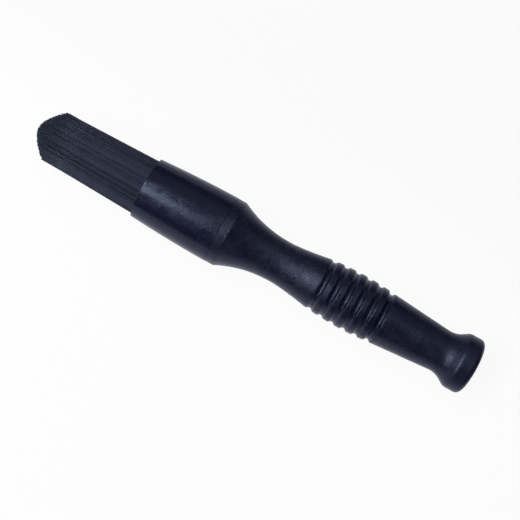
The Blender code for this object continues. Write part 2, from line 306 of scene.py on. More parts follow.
# %% [markdown]
# ### Grain of a moulded or cast skin
#
# The steel of a mould is blasted or spark-eroded, and the plastic copies that texture. It could be
# an image, but noise read at the object's own coordinates never stretches and needs no unwrapping.
# Two sizes are mixed: the fine grain itself, and the slow swell that cooling leaves in a thick
# wall.

# %% Group: moulded grain
MOTTLE_RANGE = (0.12, 0.38)

tree, size, result = new_group(
    "moulded_grain",
    "ShaderNodeTree",
    {"Position": "NodeSocketVector", "Grain Size": 0.0006, "Swell Size": 0.004, "Swell Share": 1.0},
    {"Height": "NodeSocketFloat", "Mottle": "NodeSocketFloat"},
)
fine = noise(tree, size["Position"], size["Grain Size"], detail=2.0, roughness=0.55)
swell = noise(tree, size["Position"], size["Swell Size"], detail=3.0, roughness=0.6)
height = calc(tree, "+", fine, calc(tree, "*", swell, size["Swell Share"]))
feed(tree, result["Height"], height)
mottle = calc(tree, "*", fine, swell)
feed(tree, result["Mottle"], ramp(tree, mottle, *MOTTLE_RANGE))
grain_group = tree

# %% [markdown]
# ### Wear and hairlines
#
# A tool that is handled gets faint scratches and patches where the grain is rubbed smooth. A
# Voronoi or an image of scratches would do too. Here a noise is squeezed hard in one direction, and
# only its thin crests are kept, which gives short hairlines that lie mostly across the grip.

# %% Group: handling wear
PATCH_EDGES = (0.45, 0.65)
NOISE_MIDDLE = 0.5
CREST_WIDTH = 0.05

tree, size, result = new_group(
    "handling_wear",
    "ShaderNodeTree",
    {"Position": "NodeSocketVector", "Hairline Length": 0.012, "Hairline Width": 0.0003, "Patch Size": 0.02},
    {"Hairlines": "NodeSocketFloat", "Rubbed": "NodeSocketFloat"},
)
along_scale = calc(tree, "/", 1.0, size["Hairline Width"])
across_scale = calc(tree, "/", 1.0, size["Hairline Length"])
squeeze = put(tree, "ShaderNodeCombineXYZ", {0: along_scale, 1: across_scale, 2: across_scale})
sockets = {0: size["Position"], 1: squeeze.outputs[0]}
squeezed = put(tree, "ShaderNodeVectorMath", sockets, operation="MULTIPLY")
hair = noise(tree, squeezed.outputs[0], 1.0, detail=1.0)
crest = calc(tree, "ABSOLUTE", calc(tree, "-", hair, NOISE_MIDDLE))
patches = noise(tree, size["Position"], size["Patch Size"], detail=3.0)
patches = ramp(tree, patches, *PATCH_EDGES)
hairlines = calc(tree, "*", ramp(tree, crest, 0.0, CREST_WIDTH, 1.0, 0.0), patches)
feed(tree, result["Hairlines"], hairlines)
feed(tree, result["Rubbed"], patches)
wear_group = tree

# %% [markdown]
# ### Dust
#
# Dust shows on a dark moulding before anything else does. Single specks could be scattered as tiny
# meshes, but a Voronoi cell pattern costs nothing: only the points close to a cell's centre are
# dust, and the cells' own random colours decide which of them hold a speck at all.

# %% Group: fine dust
tree, size, result = new_group(
    "fine_dust",
    "ShaderNodeTree",
    {"Position": "NodeSocketVector", "Speck Spacing": 0.003, "Speck Size": 0.06, "Share": 0.3},
    {"Specks": "NodeSocketFloat"},
)
cell_scale = calc(tree, "/", 1.0, size["Speck Spacing"])
cells = put(tree, "ShaderNodeTexVoronoi", {"Vector": size["Position"], "Scale": cell_scale})
near_centre = calc(tree, "LESS_THAN", cells.outputs["Distance"], size["Speck Size"])
cell_number = put(tree, "ShaderNodeSeparateColor", {"Color": cells.outputs["Color"]})
chosen = calc(tree, "LESS_THAN", cell_number.outputs["Red"], size["Share"])
feed(tree, result["Specks"], calc(tree, "*", near_centre, chosen))
dust_group = tree

# %% [markdown]
# ## Materials
#
# Each material is one Principled shader. Numbers that are the same all over, such as the specular
# level, are set on the shader's own sockets. What changes over the surface comes from the groups.

# %% Helpers for materials
FAINT_BUMP = 0.4


def new_material(name, **sockets):
    """A Principled material with these values on the shader's own sockets, its node tree and shader."""
    material = bpy.data.materials.new(name)
    material.use_nodes = True
    shader = material.node_tree.nodes["Principled BSDF"]
    for label, value in sockets.items():
        shader.inputs[label.replace("_", " ")].default_value = value
    return material, material.node_tree, shader


def place_group(tree, group, **inputs):
    """The outputs of a shader group placed in a material, with its own values."""
    sockets = {label.replace("_", " "): value for label, value in inputs.items()}
    return put(tree, "ShaderNodeGroup", sockets, node_tree=group).outputs


def object_position(tree):
    """The object's own coordinates, in metres."""
    return tree.nodes.new("ShaderNodeTexCoord").outputs["Object"]


def station_of(tree, position):
    """The station of a position, in metres from the pommel's end."""
    return calc(tree, "-", put(tree, "ShaderNodeSeparateXYZ", {0: position}).outputs["X"], POMMEL_X)


def mixed_colour(tree, factor, first, second):
    """The mix of two colours, each a value or a socket."""
    node = put(tree, "ShaderNodeMix", {"Factor": factor}, data_type="RGBA")
    for socket, value in zip([s for s in node.inputs if s.type == "RGBA"], (first, second)):
        feed(tree, socket, value)
    return [s for s in node.outputs if s.type == "RGBA"][0]


def bumped(tree, shader, height, distance, strength):
    """Lets a height feed the shader's normal through a Bump node."""
    bump = put(tree, "ShaderNodeBump", {"Height": height, "Distance": distance, "Strength": strength})
    feed(tree, shader.inputs["Normal"], bump.outputs["Normal"])


# %% [markdown]
# ### Moulded plastic
#
# The handle, its cap and the sleeve are the same satin navy-black polypropylene. Its colour is so
# dark that most of what is seen is reflection, and that reflection is cool, because the pigment's
# blue shows in the microscopic grain. So the specular tint is a pale blue, which leaves the grazing
# edges white.
#
# The recipe is used twice. The handle's mould is uneven, with grain, swell and scratches, and the
# sleeve's mould is polished finer. The hand rubs the grip smoother, and its ribs most of all, and
# the sleeve is polished less well near the joint. So the roughness changes in four steps along the
# brush, and the grip keeps less than half of the relief. Its mean is taken off first, so that no
# ledge shows where the grip ends.
#
# A satin surface looks glossier where it is seen edge-on. A Layer Weight lowers the roughness
# there, and that keeps the pale bands along the brush's outline narrow.

# %% Materials: moulded plastic of the handle and of the sleeve
NAVY_BLACK = (0.0052, 0.0052, 0.0165, 1.0)
WORN_NAVY = (0.0090, 0.0090, 0.0220, 1.0)
WORN_SHARE = 0.35
DUST_GREY = (0.105, 0.105, 0.120, 1.0)
DUST_SHARE = 0.5
COOL_TINT = (0.60, 0.72, 1.0, 1.0)
SWELL_SIZE = 0.0055
HANDLE_FINISH = {"gloss": (0.32, 0.56), "grain": 0.0008, "swell": 1.0, "relief": 0.00023, "scratch": 0.12}
SLEEVE_FINISH = {"gloss": (0.28, 0.40), "grain": 0.0011, "swell": 0.2, "relief": 0.00012, "scratch": 0.03}
GRIP_END = (0.098, 0.106)
FINISH_STEPS = ((0.022, 0.034, -0.07), (0.046, 0.058, -0.10), (*GRIP_END, 0.10), (0.163, 0.182, -0.07))
GRAZING_RANGE = (0.1, 0.6)
GRAZING_SHARE = 0.5
HAIRLINE_DEPTH = 0.3
MEAN_HEIGHT = 1.0
GRIP_RELIEF = 0.45
RELIEF_STRENGTH = 0.8


def moulded_material(name, gloss, grain, swell, relief, scratch):
    """Satin plastic, with its limits of roughness, grain size, swell, depth of relief and scratches."""
    material, tree, shader = new_material(name, Specular_IOR_Level=0.42, Specular_Tint=COOL_TINT, IOR=1.49)
    spot = object_position(tree)
    station = station_of(tree, spot)
    skin = place_group(
        tree, grain_group, Position=spot, Grain_Size=grain, Swell_Size=SWELL_SIZE, Swell_Share=swell
    )
    wear = place_group(
        tree, wear_group, Position=spot, Hairline_Length=0.007, Hairline_Width=0.0006, Patch_Size=0.012
    )
    dust = place_group(tree, dust_group, Position=spot, Speck_Spacing=0.0034, Speck_Size=0.05, Share=0.16)

    colour = mixed_colour(tree, calc(tree, "*", wear["Rubbed"], WORN_SHARE), NAVY_BLACK, WORN_NAVY)
    colour = mixed_colour(tree, calc(tree, "*", dust["Specks"], DUST_SHARE), colour, DUST_GREY)
    feed(tree, shader.inputs["Base Color"], colour)

    satin = ramp(tree, skin["Mottle"], 0.0, 1.0, *gloss)
    satin = calc(tree, "-", satin, calc(tree, "*", wear["Hairlines"], scratch))
    for start, stop, change in FINISH_STEPS:
        satin = calc(tree, "+", satin, ramp(tree, station, start, stop, 0.0, change))
    facing = put(tree, "ShaderNodeLayerWeight", {"Blend": 0.5}).outputs["Facing"]
    flatter = ramp(tree, facing, *GRAZING_RANGE, 1.0, GRAZING_SHARE)
    feed(tree, shader.inputs["Roughness"], calc(tree, "*", satin, flatter))

    height = calc(tree, "-", skin["Height"], calc(tree, "*", wear["Hairlines"], HAIRLINE_DEPTH))
    held = ramp(tree, station, *GRIP_END, GRIP_RELIEF, 1.0)
    height = calc(tree, "*", calc(tree, "-", height, MEAN_HEIGHT), held)
    bumped(tree, shader, height, relief, RELIEF_STRENGTH)
    return material


plastic = moulded_material("moulded_plastic", **HANDLE_FINISH)
sleeve_plastic = moulded_material("polished_plastic", **SLEEVE_FINISH)
print("Plastics:", plastic.name, "and", sleeve_plastic.name)

# %% [markdown]
# ### Filaments
#
# The filaments are extruded nylon, slate-blue where light falls along them and nearly black between
# them. Every filament carries a number of its own, written by the Geometry Nodes tree further down
# as the attribute `tone`, and the material reads it to make some filaments a little lighter than
# their neighbours. A brush that cleans greasy parts keeps some of the dirt, so the colour darkens
# over the last five centimetres.

# %% Material: bristle filament
SLATE_DARK = (0.0030, 0.0042, 0.0085, 1.0)
SLATE_LIGHT = (0.0290, 0.0380, 0.0700, 1.0)
FILAMENT_GLOSS = (0.40, 0.52)
FILAMENT_RELIEF = 0.00001
TONE_POWER = 1.5
TIP_SOIL = 0.60
SOILED_LENGTH = 0.050


def filament_material():
    """Extruded filaments, each with a tone of its own, and all soiled towards their tips."""
    material, tree, shader = new_material(
        "bristle_filament", Specular_IOR_Level=0.30, Specular_Tint=COOL_TINT, IOR=1.53
    )
    spot = object_position(tree)
    grain = place_group(tree, grain_group, Position=spot, Grain_Size=0.0003)
    tone = put(tree, "ShaderNodeAttribute", attribute_name="tone").outputs["Fac"]
    soil = ramp(tree, station_of(tree, spot), TIP - SOILED_LENGTH, TIP, 0.0, TIP_SOIL)
    lightness = calc(tree, "*", calc(tree, "^", tone, TONE_POWER), calc(tree, "-", 1.0, soil))
    feed(tree, shader.inputs["Base Color"], mixed_colour(tree, lightness, SLATE_DARK, SLATE_LIGHT))
    feed(tree, shader.inputs["Roughness"], ramp(tree, grain["Mottle"], 0.0, 1.0, *FILAMENT_GLOSS))
    bumped(tree, shader, grain["Height"], FILAMENT_RELIEF, FAINT_BUMP)
    return material


filament = filament_material()
print(f"The filaments are soiled over their last {1000 * SOILED_LENGTH:.0f} mm")

# %% [markdown]
# ### The pieces inside the sleeve
#
# Cast resin, the thin steel band and the two natural-plastic pieces only show when the brush is
# taken apart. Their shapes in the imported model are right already, so they keep them and get a
# finish of their own.

# %% Materials: resin, band and natural plastic
AMBER = (0.30, 0.16, 0.05, 1.0)
AMBER_DEEP = (0.19, 0.09, 0.025, 1.0)
BAND_GREY = (0.55, 0.56, 0.58, 1.0)
BAND_DULL = (0.36, 0.37, 0.39, 1.0)
NATURAL = (0.62, 0.60, 0.54, 1.0)
NATURAL_SHADE = (0.52, 0.50, 0.44, 1.0)
INNER_RELIEF = 0.00003


def inner_material(name, light, dark, gloss, metallic=0.0, grain_size=0.0006):
    """A finish with two shades and an uneven gloss, driven by the shared grain."""
    material, tree, shader = new_material(name, Metallic=metallic)
    grain = place_group(tree, grain_group, Position=object_position(tree), Grain_Size=grain_size)
    feed(tree, shader.inputs["Base Color"], mixed_colour(tree, grain["Mottle"], light, dark))
    feed(tree, shader.inputs["Roughness"], ramp(tree, grain["Mottle"], 0.0, 1.0, *gloss))
    bumped(tree, shader, grain["Height"], INNER_RELIEF, FAINT_BUMP)
    return material


resin = inner_material("cast_resin", AMBER, AMBER_DEEP, (0.22, 0.38))
band = inner_material("band_metal", BAND_GREY, BAND_DULL, (0.28, 0.45), metallic=1.0, grain_size=0.0003)
natural = inner_material("natural_plastic", NATURAL, NATURAL_SHADE, (0.45, 0.60))

carried_over = {"resin_set": resin, "root_band": band, "centre_plug": natural, "backing_disc": natural}
for node_name, finish in carried_over.items():
    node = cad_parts[node_name]
    node.data.materials.clear()
    node.data.materials.append(finish)
print("Carried over with a new finish:", sorted(carried_over))

# %% [markdown]
# ## The handle
#
# The handle is one moulding. From the pommel it runs through a flare, a straight grip that widens
# towards the ribs, the ribbed grip, a waisted neck and the shoulder ring, and ends in a spigot that
# goes into the sleeve. The flare is a short cone between two generous roundings, and the neck is
# two flowing curves that meet where it is thinnest. A low bead on the spigot snaps into the sleeve.
# The handle is cored out from both ends, so that its walls cool evenly. It could be lofted from
# rings, but every section is a circle, so it is turned.

# %% Sizes of the handle
POMMEL_RADIUS = 0.01679
POMMEL_BAND = 0.0095
POMMEL_RIM = 0.0056
POMMEL_CORNER = 0.0046
WAIST_STATION = 0.0169
WAIST_RADIUS = 0.01208
WAIST_HOLLOW = 0.0145
REAR_ARC_STEPS = 12
REAR_SPACING = 0.002

RIB_START = 0.05715
RIB_END = 0.09855
RIB_CORNER_RADIUS = 0.01539
RIB_CROWN = 0.00122
RIB_STEPS = 200

NECK_STATION = 0.1224
NECK_RADIUS = 0.01241
NECK_REAR_POWER = 1.5
NECK_REAR_STEPS = 24
NECK_FRONT_POWER = 2.2
NECK_FRONT_STEPS = 36
SHOULDER_STATION = 0.1552
SHOULDER_RADIUS = 0.01992
SHOULDER_CORNER = 0.0011
SEAM_EDGE = 0.00015

SPIGOT_ROOT_RADIUS = 0.01800
SPIGOT_END_RADIUS = 0.01762
SPIGOT_EDGE = 0.0003
BEAD_OFFSET = 0.0065
BEAD_STATION = SEAM + BEAD_OFFSET
BEAD_LENGTH = 0.0030
BEAD_HEIGHT = 0.0006
BEAD_ROUNDING = 0.0012
BEAD_TAPER_SHARES = (0.43, 0.53, 0.64)

FRONT_POCKET_RADIUS = 0.0120
FRONT_POCKET_DEPTH = 0.0180
FRONT_POCKET_FLOOR = SPIGOT_END - FRONT_POCKET_DEPTH
WEB_THICKNESS = 0.0060
BORE_END = FRONT_POCKET_FLOOR - WEB_THICKNESS
BORE_MOUTH_RADIUS = 0.0086
BORE_END_RADIUS = 0.0074
CAP_SEAT_RADIUS = 0.0105
CAP_SEAT_DEPTH = 0.0023

# %% [markdown]
# The rib tops lie on a shallow barrel, a parabola that is highest half-way along the ribs. The
# outline is resampled finely there, because the next step presses the grooves into it.

# %% Turn the smooth handle
def barrel(station):
    """Radius of the barrel that the rib tops follow."""
    across = 2.0 * (station - RIB_START) / (RIB_END - RIB_START) - 1.0
    return RIB_CORNER_RADIUS + RIB_CROWN * (1.0 - across * across)


def handle_outline():
    """The handle's outline from the front pocket's floor, round the outside, to the rear bore's end."""
    pocket = [
        (FRONT_POCKET_FLOOR, 0.0),
        (FRONT_POCKET_FLOOR, FRONT_POCKET_RADIUS),
        (SPIGOT_END, FRONT_POCKET_RADIUS),
    ]
    taper = [linear(SPIGOT_END_RADIUS, SPIGOT_ROOT_RADIUS, share) for share in BEAD_TAPER_SHARES]
    spigot = [
        (SPIGOT_END, SPIGOT_END_RADIUS),
        (BEAD_STATION + BEAD_LENGTH / 2.0, taper[0]),
        (BEAD_STATION, taper[1] + BEAD_HEIGHT),
        (BEAD_STATION - BEAD_LENGTH / 2.0, taper[2]),
        (SEAM, SPIGOT_ROOT_RADIUS),
    ]
    inner = rounded(pocket + spigot, {3: SPIGOT_EDGE, 5: BEAD_ROUNDING})

    neck = (NECK_STATION, NECK_RADIUS)
    shoulder = (SHOULDER_STATION, SHOULDER_RADIUS)
    neck_front = flowing(neck, shoulder, NECK_FRONT_POWER, NECK_FRONT_STEPS)[::-1]
    ring = [(SEAM, SPIGOT_ROOT_RADIUS), (SEAM, SHOULDER_RADIUS), neck_front[0], neck_front[2]]
    ring = rounded(ring, {1: SEAM_EDGE, 2: SHOULDER_CORNER})[1:-1]
    neck_rear = flowing(neck, (RIB_END, RIB_CORNER_RADIUS), NECK_REAR_POWER, NECK_REAR_STEPS)
    rib_stations = [linear(RIB_END, RIB_START, step / RIB_STEPS) for step in range(1, RIB_STEPS)]
    ribs = [(station, barrel(station)) for station in rib_stations]

    rear = [
        (RIB_START, RIB_CORNER_RADIUS),
        (WAIST_STATION, WAIST_RADIUS),
        (POMMEL_BAND, POMMEL_RADIUS),
        (0.0, POMMEL_RADIUS),
        (0.0, CAP_SEAT_RADIUS),
    ]
    rear = rounded(rear, {1: WAIST_HOLLOW, 2: POMMEL_CORNER, 3: POMMEL_RIM}, REAR_ARC_STEPS)
    bore = [
        (CAP_SEAT_DEPTH, CAP_SEAT_RADIUS),
        (CAP_SEAT_DEPTH, BORE_MOUTH_RADIUS),
        (BORE_END, BORE_END_RADIUS),
        (BORE_END, 0.0),
    ]
    return inner + ring + neck_front[2:] + neck_rear[1:] + ribs + resampled(rear, REAR_SPACING) + bore


handle = turned("handle_moulding", handle_outline())
print("Smooth handle:", len(handle.data.vertices), "points")

# %% [markdown]
# ## Building with Geometry Nodes
#
# The grooves and the filaments are made by Geometry Nodes trees. Every size is a named input of the
# tree and is given to the modifier before anything is evaluated. Each tree ends in real geometry
# with its material set, and the result is kept as a plain mesh.

# %% Helpers for Geometry Nodes
def geometry_tree(name, sizes):
    """A tree with these sizes as named inputs, the sockets it starts from and those it ends in."""
    inputs = {"Geometry": "NodeSocketGeometry", "Material": "NodeSocketMaterial", **sizes}
    return new_group(name, "GeometryNodeTree", inputs, {"Geometry": "NodeSocketGeometry"})


def end_tree(tree, geometry, material, result):
    """Ends a tree with real geometry in its material."""
    real = put(tree, "GeometryNodeRealizeInstances", {0: geometry})
    coated = put(tree, "GeometryNodeSetMaterial", {"Geometry": real.outputs[0], "Material": material})
    feed(tree, result[0], coated.outputs[0])


def run_tree(piece, tree, values):
    """Runs a tree on an object with these values on its inputs, and keeps the plain mesh."""
    modifier = piece.modifiers.new(tree.name, "NODES")
    modifier.node_group = tree
    sockets = {item.name: item.identifier for item in tree.interface.items_tree if item.in_out == "INPUT"}
    for label, value in values.items():
        modifier[sockets[label]] = value
    mesh = plain_mesh(piece, piece.name)
    old = piece.data
    piece.modifiers.remove(modifier)
    piece.data = mesh
    bpy.data.meshes.remove(old)


# %% [markdown]
# ## The grip ribs
#
# Five ribs stand between six grooves. They could be part of the outline, but they repeat at an even
# pitch, so a Geometry Nodes tree presses them in: for each point it finds the nearest groove's
# centre line, works out how far from it the point lies, and moves the point towards the axis. A
# groove is a rounded trough, a little wider on its front side, and the one nearest the pommel is
# cut deeper. Every size is a named input of the modifier, so the grip can be changed without
# touching the outline.

# %% Geometry Nodes: press the grooves
FIRST_GROOVE_OFFSET = 0.0022
GROOVES = {
    "Groove Count": 6,
    "First Groove": RIB_START + FIRST_GROOVE_OFFSET,
    "Pitch": 0.0073,
    "Front Half Width": 0.0023,
    "Rear Half Width": 0.0022,
    "Groove Depth": 0.00125,
    "Rear Groove Depth": 0.0016,
    "Flatness": 2.5,
    "Rounding": 2.0,
    "Skin Radius": 0.0115,
}
SMALLEST_RADIUS = 0.001


def groove_tree():
    """A tree that presses evenly spaced grooves into the skin of a body turned about X."""
    tree, size, result = geometry_tree("press_grooves", GROOVES)
    position = tree.nodes.new("GeometryNodeInputPosition").outputs[0]
    station, side, up = put(tree, "ShaderNodeSeparateXYZ", {0: position}).outputs
    radius = calc(tree, "+", calc(tree, "^", side, 2.0), calc(tree, "^", up, 2.0))
    radius = calc(tree, "SQRT", radius)

    offset = calc(tree, "-", station, size["First Groove"])
    number = calc(tree, "ROUND", calc(tree, "/", offset, size["Pitch"]))
    last = calc(tree, "-", size["Groove Count"], 1.0)
    number = calc(tree, "MAXIMUM", calc(tree, "MINIMUM", number, last), 0.0)
    away = calc(tree, "-", offset, calc(tree, "*", number, size["Pitch"]))
    in_front = calc(tree, "/", away, size["Front Half Width"])
    behind = calc(tree, "/", away, calc(tree, "*", size["Rear Half Width"], -1.0))
    across = calc(tree, "MINIMUM", calc(tree, "MAXIMUM", in_front, behind), 1.0)

    bowl = calc(tree, "-", 1.0, calc(tree, "^", across, size["Flatness"]))
    is_rear = calc(tree, "LESS_THAN", number, 0.5)
    deeper = calc(tree, "-", size["Rear Groove Depth"], size["Groove Depth"])
    depth = calc(tree, "+", size["Groove Depth"], calc(tree, "*", is_rear, deeper))
    dip = calc(tree, "*", calc(tree, "^", bowl, size["Rounding"]), depth)
    on_skin = calc(tree, "GREATER_THAN", radius, size["Skin Radius"])
    lowered = calc(tree, "-", radius, calc(tree, "*", dip, on_skin))
    shrink = calc(tree, "/", lowered, calc(tree, "MAXIMUM", radius, SMALLEST_RADIUS))
    side = calc(tree, "*", side, shrink)
    up = calc(tree, "*", up, shrink)
    spot = put(tree, "ShaderNodeCombineXYZ", {0: station, 1: side, 2: up}).outputs[0]
    sockets = {"Geometry": size["Geometry"], "Selection": on_skin, "Position": spot}
    moved = put(tree, "GeometryNodeSetPosition", sockets)
    end_tree(tree, moved.outputs[0], size["Material"], result)
    return tree


run_tree(handle, groove_tree(), {**GROOVES, "Material": plastic})
lay_on_axis(handle)

# %% [markdown]
# ## The pommel cap
#
# The bore behind the grip is closed by a cap that sits flush with the pommel's end. Nothing but its
# flat face can be seen, with the fine ring where it meets the handle. It is turned like the handle,
# with its edge eased and the small dimple that the moulding gate leaves in the middle.

# %% Turn the pommel cap
CAP_GAP = 0.0003
CAP_RADIUS = CAP_SEAT_RADIUS - CAP_GAP
CAP_FLANGE = CAP_SEAT_DEPTH - CAP_GAP
CAP_SKIRT_END = 0.0123
CAP_SKIRT_RADIUS = 0.0082
CAP_SKIRT_WALL = 0.0016
CAP_EDGE = 0.00035
SKIRT_EDGE = 0.0003
GATE_RADIUS = 0.0014
GATE_DEPTH = 0.0003
GATE_EDGE = 0.0002

cap_path = [
    (CAP_FLANGE, 0.0),
    (CAP_FLANGE, CAP_SKIRT_RADIUS - CAP_SKIRT_WALL),
    (CAP_SKIRT_END, CAP_SKIRT_RADIUS - CAP_SKIRT_WALL),
    (CAP_SKIRT_END, CAP_SKIRT_RADIUS),
    (CAP_FLANGE, CAP_SKIRT_RADIUS),
    (CAP_FLANGE, CAP_RADIUS),
    (0.0, CAP_RADIUS),
    (0.0, GATE_RADIUS + GATE_DEPTH),
    (GATE_DEPTH, GATE_RADIUS),
    (GATE_DEPTH, 0.0),
]
cap_edges = {3: SKIRT_EDGE, 6: CAP_EDGE, 7: GATE_EDGE, 8: GATE_EDGE}
cap = turned("pommel_cap", rounded(cap_path, cap_edges))
lay_on_axis(cap, plastic)

# %% [markdown]
# ## The sleeve
#
# The sleeve is a real tube. Its outside narrows slowly from the seam and faster towards the mouth,
# and its bore follows the bundle that it grips. Its edges are eased by a tenth of a millimetre or
# more, as moulded edges are. The joint is drawn almost closed, as it is on an assembled brush, and
# reads as a thin dark line.

# %% Turn the sleeve
SLEEVE_SEAM_RADIUS = (sleeve_high.z - sleeve_low.z) / 2.0
SLEEVE_MOUTH_RADIUS = 0.01817
SLEEVE_TAPER = 1.75
SLEEVE_STEPS = 32
BORE_SEAM_RADIUS = 0.01829
BORE_MOUTH_END_RADIUS = 0.01698
MOUTH_LIP = 0.0001
BORE_MOUTH_EDGE = 0.0003
BORE_SEAM_EDGE = 0.0004

seam_end = (SEAM + JOINT_LINE, SLEEVE_SEAM_RADIUS)
sleeve_path = flowing(seam_end, (MOUTH, SLEEVE_MOUTH_RADIUS), SLEEVE_TAPER, SLEEVE_STEPS)
lip = len(sleeve_path) - 1
sleeve_path += [(MOUTH, BORE_MOUTH_END_RADIUS), (SEAM + JOINT_LINE, BORE_SEAM_RADIUS)]
sleeve_edges = {0: SEAM_EDGE, lip: MOUTH_LIP, lip + 1: BORE_MOUTH_EDGE, lip + 2: BORE_SEAM_EDGE}
sleeve = turned("ferrule_tube", rounded(sleeve_path, sleeve_edges), closed=True)
lay_on_axis(sleeve, sleeve_plastic)

# %% [markdown]
# ## The root slice
#
# The filaments come out of a slice of the cast set. It lies deep in the sleeve, and it replaces the
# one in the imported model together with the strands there.

# %% Turn the root slice
SLICE_THICKNESS = 0.0020
ROOTS = SLICE_START + SLICE_THICKNESS
SLICE_OUTER = 0.01727
SLICE_INNER = 0.0078
SLICE_EDGE = 0.0002

slice_path = [
    (SLICE_START, SLICE_INNER),
    (SLICE_START, SLICE_OUTER),
    (ROOTS, SLICE_OUTER),
    (ROOTS, SLICE_INNER),
]
root_slice = turned("root_slice", rounded(slice_path, {1: SLICE_EDGE, 2: SLICE_EDGE}), closed=True)
lay_on_axis(root_slice, resin)

# %% [markdown]
# ## The filaments
#
# A few thousand filaments leave the slice as a ring round the centre plug and lean inwards until
# they fill a whole disc at the tip, which is trimmed to a dome. A hair system could grow them, but
# a short Geometry Nodes tree says exactly where each one goes. It makes one point for every joint
# of every filament, moves the points to their places and joins them into curves, and a thin
# six-sided tube is drawn along each.

# %% Sizes of the bundle
FILAMENT_COUNT = 2400
ROOT_EMBED = 0.0010
TIP_ALLOWANCE = 0.0009

BUNDLE = {
    "First Filament": 0,
    "Filament Count": FILAMENT_COUNT // 2,
    "Total Count": FILAMENT_COUNT,
    "Joints": 6,
    "Filament Radius": 0.00024,
    "Root Station": ROOTS - ROOT_EMBED,
    "Mouth Station": MOUTH,
    "Tip Station": TIP - TIP_ALLOWANCE,
    "Root Inner Radius": 0.0080,
    "Root Outer Radius": 0.01706,
    "Tip Radius": 0.01450,
    "Dome Drop": 0.0104,
    "Dome Power": 1.65,
    "End Rounding": 0.0002,
    "Length Scatter": 0.0014,
    "Tip Scatter": 0.0005,
    "Stray Share": 0.008,
    "Stray Reach": 0.0019,
    "Bundle Lean": 0.0005,
    "Clump Size": 0.0006,
    "Clump Shade": 0.3,
    "Seed": 7,
}
print(f"Bundle of {FILAMENT_COUNT} filaments, {2000 * BUNDLE['Filament Radius']:.2f} mm thick")

# %% [markdown]
# ### Where each filament stands
#
# A point's number says which filament it belongs to and which of its joints it is. Filament after
# filament is turned by the golden angle and set a little further out, as seeds are in a sunflower,
# so they fill the ring and the disc evenly and never line up in rows.

# %% Helpers: numbers and spiral
GOLDEN_ANGLE = math.pi * (3.0 - math.sqrt(5.0))


def filament_numbers(tree, size):
    """For each point, its filament in this run and in the bundle, its joint and the filament's share."""
    index = tree.nodes.new("GeometryNodeInputIndex").outputs[0]
    local = calc(tree, "FLOOR", calc(tree, "/", calc(tree, "+", index, 0.5), size["Joints"]))
    joint = calc(tree, "-", index, calc(tree, "*", local, size["Joints"]))
    number = calc(tree, "+", local, size["First Filament"])
    share = calc(tree, "/", calc(tree, "+", number, 0.5), size["Total Count"])
    return local, number, joint, share


def spiral(tree, size, number, share):
    """A filament's angle, and its distance from the axis in the ring of roots and in the disc of tips."""
    angle = calc(tree, "*", number, GOLDEN_ANGLE)
    inner_square = calc(tree, "^", size["Root Inner Radius"], 2.0)
    outer_square = calc(tree, "^", size["Root Outer Radius"], 2.0)
    ring = calc(tree, "*", calc(tree, "-", outer_square, inner_square), share)
    root_radius = calc(tree, "SQRT", calc(tree, "+", inner_square, ring))
    tip_radius = calc(tree, "*", calc(tree, "SQRT", share), size["Tip Radius"])
    return angle, root_radius, tip_radius


# %% [markdown]
# ### From the roots to the dome
#
# Each filament runs straight from its root to its tip. The tips lie on a dome that drops as a power
# of the distance from the axis, with a little scatter, because a trimmer never cuts all filaments
# to the same length. The last joint lies close to the one before it, so that the end looks eased.

# %% Helpers: scatter and run
def scattered(tree, size, draw, number, high=1.0):
    """A random number up to a limit for each filament, the same each time for the same draw."""
    seed = calc(tree, "+", size["Seed"], float(draw)) if draw else size["Seed"]
    node = put(tree, "FunctionNodeRandomValue", {"ID": number, "Seed": seed}, data_type="FLOAT")
    feed(tree, node.inputs[2], 0.0)
    feed(tree, node.inputs[3], high)
    return node.outputs[1]


def filament_run(tree, size, joint, number, root_radius, tip_radius):
    """The station and radius of each joint, and whether it is the last one."""
    along = calc(tree, "/", joint, calc(tree, "-", size["Joints"], 2.0), clamp=True)
    is_end = calc(tree, "GREATER_THAN", joint, calc(tree, "-", size["Joints"], 1.5))
    edge = calc(tree, "^", calc(tree, "/", tip_radius, size["Tip Radius"]), size["Dome Power"])
    shorter = scattered(tree, size, 0, number, size["Length Scatter"])
    drop = calc(tree, "+", calc(tree, "*", edge, size["Dome Drop"]), shorter)
    tip_station = calc(tree, "-", size["Tip Station"], drop)
    last_joint = calc(tree, "-", tip_station, size["End Rounding"])
    run = calc(tree, "-", last_joint, size["Root Station"])
    station = calc(tree, "+", size["Root Station"], calc(tree, "*", run, along))
    station = calc(tree, "+", station, calc(tree, "*", is_end, size["End Rounding"]))
    full_run = calc(tree, "-", size["Tip Station"], size["Root Station"])
    lean = calc(tree, "/", calc(tree, "-", station, size["Root Station"]), full_run)
    difference = calc(tree, "-", tip_radius, root_radius)
    radius = calc(tree, "+", root_radius, calc(tree, "*", difference, lean))
    return station, radius, is_end


# %% [markdown]
# ### What use does to the bundle
#
# Past the sleeve's mouth each filament wanders a little to one side, a few stray further than the
# rest, and the whole bundle leans half a millimetre.

# %% Helpers: lean and strays
def parts_of(tree, distance, angle):
    """The sideways and the upward part of a distance that points at an angle round the axis."""
    return [calc(tree, "*", distance, calc(tree, wave, angle)) for wave in ("COSINE", "SINE")]


